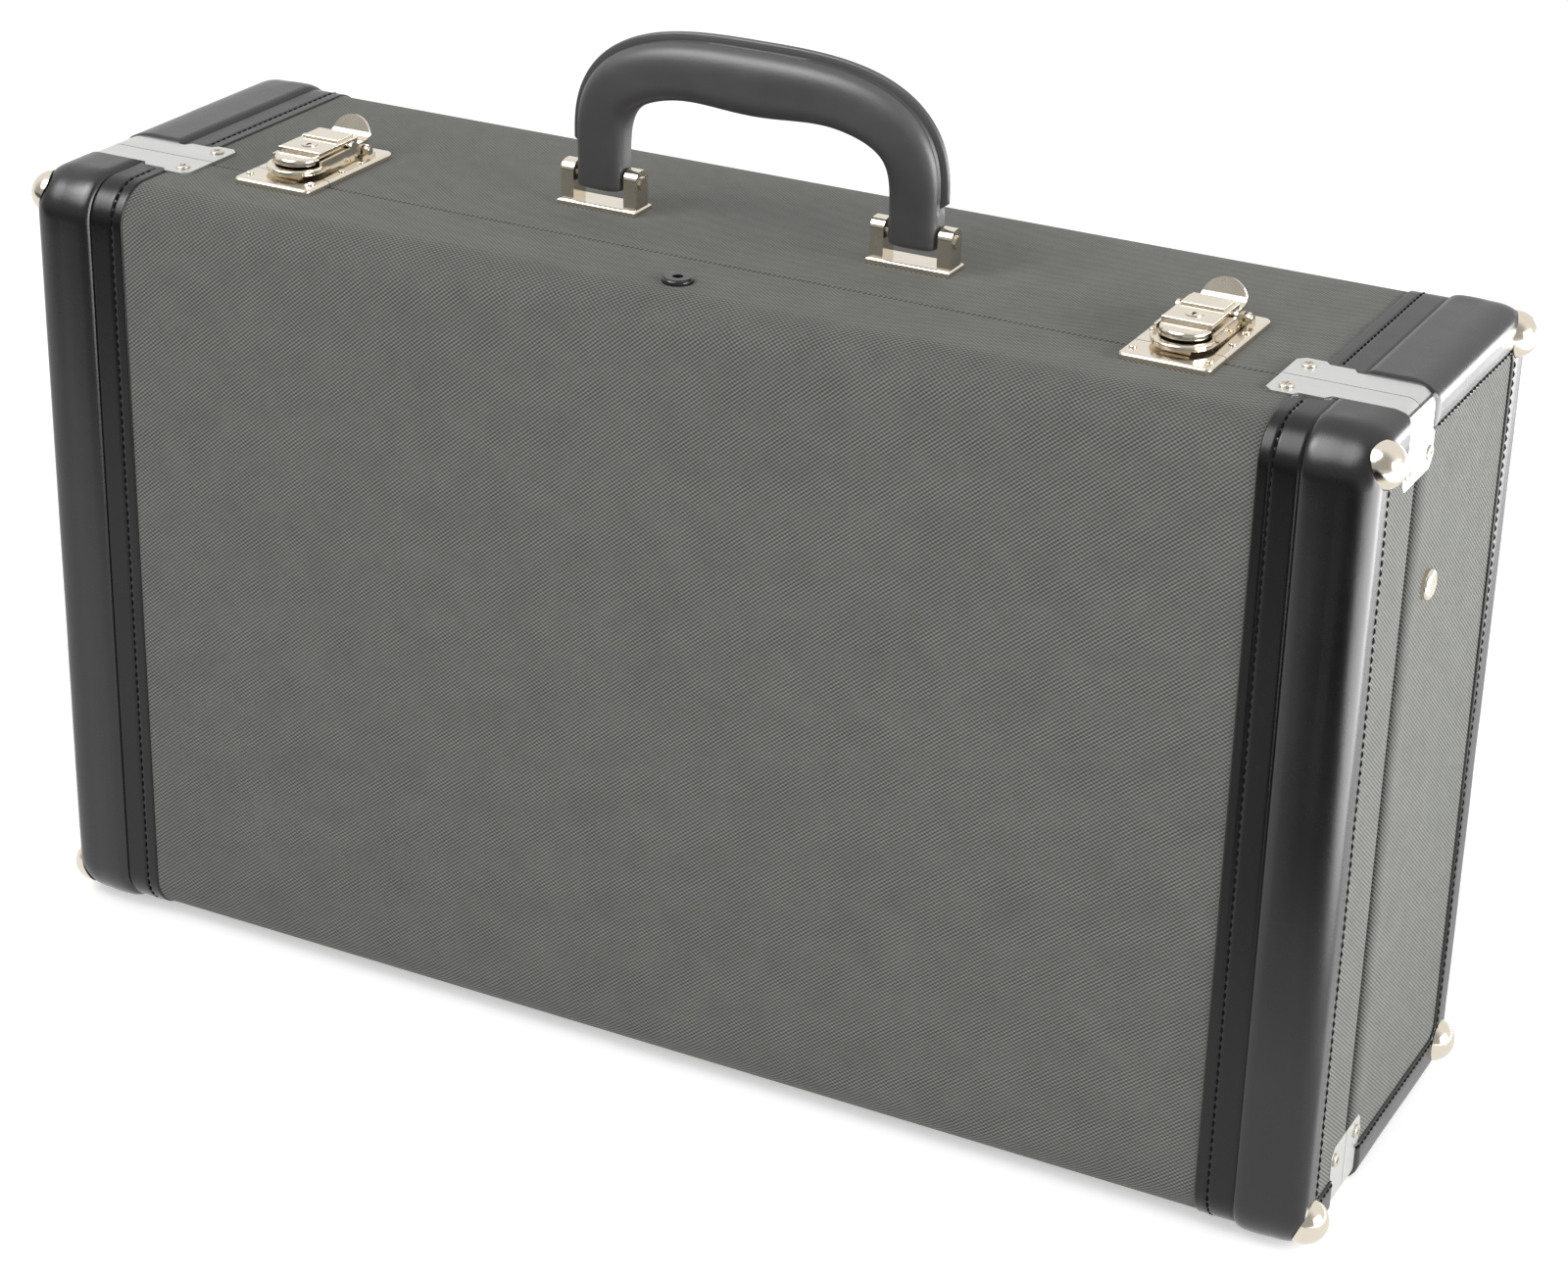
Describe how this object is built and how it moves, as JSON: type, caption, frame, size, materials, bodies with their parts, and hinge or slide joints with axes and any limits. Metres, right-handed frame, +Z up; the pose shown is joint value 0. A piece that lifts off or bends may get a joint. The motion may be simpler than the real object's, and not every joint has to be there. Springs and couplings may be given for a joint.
{
  "type": "trumpet case",
  "caption": "Upright hard case for trumpets, with leather ends, a hinged lid, key-lock latches and a folding top handle.",
  "frame": {"origin": "middle of the case's footprint, on the surface that it stands on", "axes": "+X along the case's length, +Y from the lid to the back, +Z up to the handle"},
  "size_m": [0.6138, 0.185, 0.4294],
  "materials": {
    "woven_cover": "matte twill",
    "end_leather": "satin grained",
    "case_board": "plain",
    "lining_cloth": "plush",
    "rail_wood": "black satin",
    "nickel_plate": "polished nickel",
    "bracket_metal": "brushed",
    "handle_cover": "grained",
    "stud_rubber": "glossy"
  },
  "bodies": {
    "root": {"body_shell": "case_board", "body_textile": "woven_cover", "body_end_panels": "woven_cover", "body_leather_ends": "end_leather", "body_lining": "lining_cloth", "closing_rail": "rail_wood", "instrument_insert": "lining_cloth", "accessory_compartment": "lining_cloth", "mouthpiece_block": "lining_cloth", "body_brackets": "bracket_metal", "body_bracket_screws": "nickel_plate", "body_corner_domes": "nickel_plate", "end_rivet": "nickel_plate", "body_hinge_leaves": "nickel_plate", "body_hinge_rivets": "nickel_plate", "hinge_pins": "nickel_plate", "handle_mounts": "nickel_plate", "handle_mount_rivets": "nickel_plate", "handle_pins": "nickel_plate", "latch_bases": "nickel_plate", "latch_base_rivets": "nickel_plate", "latch_pivots": "nickel_plate"},
    "lid": {"lid_shell": "case_board", "lid_textile": "woven_cover", "lid_end_panels": "woven_cover", "lid_leather_ends": "end_leather", "lid_lining": "lining_cloth", "lid_pad": "lining_cloth", "lid_brackets": "bracket_metal", "lid_bracket_screws": "nickel_plate", "lid_corner_domes": "nickel_plate", "lid_hinge_leaves": "nickel_plate", "lid_hinge_rivets": "nickel_plate", "lid_stud": "stud_rubber", "latch_catches": "nickel_plate", "latch_catch_rivets": "nickel_plate"},
    "handle": {"handle": "handle_cover"},
    "left_hasp": {"left_latch_hasp": "nickel_plate", "left_lever_pin": "nickel_plate"},
    "left_lever": {"left_latch_lever": "nickel_plate"},
    "left_cylinder": {"left_lock_cylinder": "nickel_plate"},
    "right_hasp": {"right_latch_hasp": "nickel_plate", "right_lever_pin": "nickel_plate"},
    "right_lever": {"right_latch_lever": "nickel_plate"},
    "right_cylinder": {"right_lock_cylinder": "nickel_plate"}
  },
  "joints": [
    {"name": "lid_hinge", "type": "hinge", "parent": "root", "child": "lid", "pos_m": [0, -0.0395, 0.0024], "axis": [1, 0, 0], "range_deg": [0, 100]},
    {"name": "handle_swing", "type": "hinge", "parent": "root", "child": "handle", "pos_m": [0, 0, 0.3606], "axis": [1, 0, 0], "range_deg": [-88, 88]},
    {"name": "left_hasp_lift", "type": "hinge", "parent": "root", "child": "left_hasp", "pos_m": [-0.202, -0.003, 0.3533], "axis": [-1, 0, 0], "range_deg": [0, 18]},
    {"name": "left_lever_tilt", "type": "hinge", "parent": "left_hasp", "child": "left_lever", "pos_m": [-0.202, -0.0115, 0.357], "axis": [-1, 0, 0], "range_deg": [0, 8]},
    {"name": "left_lock_turn", "type": "hinge", "parent": "left_lever", "child": "left_cylinder", "pos_m": [-0.202, -0.026, 0.3576], "axis": [0, 0, 1], "range_deg": [0, 90]},
    {"name": "right_hasp_lift", "type": "hinge", "parent": "root", "child": "right_hasp", "pos_m": [0.202, -0.003, 0.3533], "axis": [-1, 0, 0], "range_deg": [0, 18]},
    {"name": "right_lever_tilt", "type": "hinge", "parent": "right_hasp", "child": "right_lever", "pos_m": [0.202, -0.0115, 0.357], "axis": [-1, 0, 0], "range_deg": [0, 8]},
    {"name": "right_lock_turn", "type": "hinge", "parent": "right_lever", "child": "right_cylinder", "pos_m": [0.202, -0.026, 0.3576], "axis": [0, 0, 1], "range_deg": [0, 90]}
  ]
}
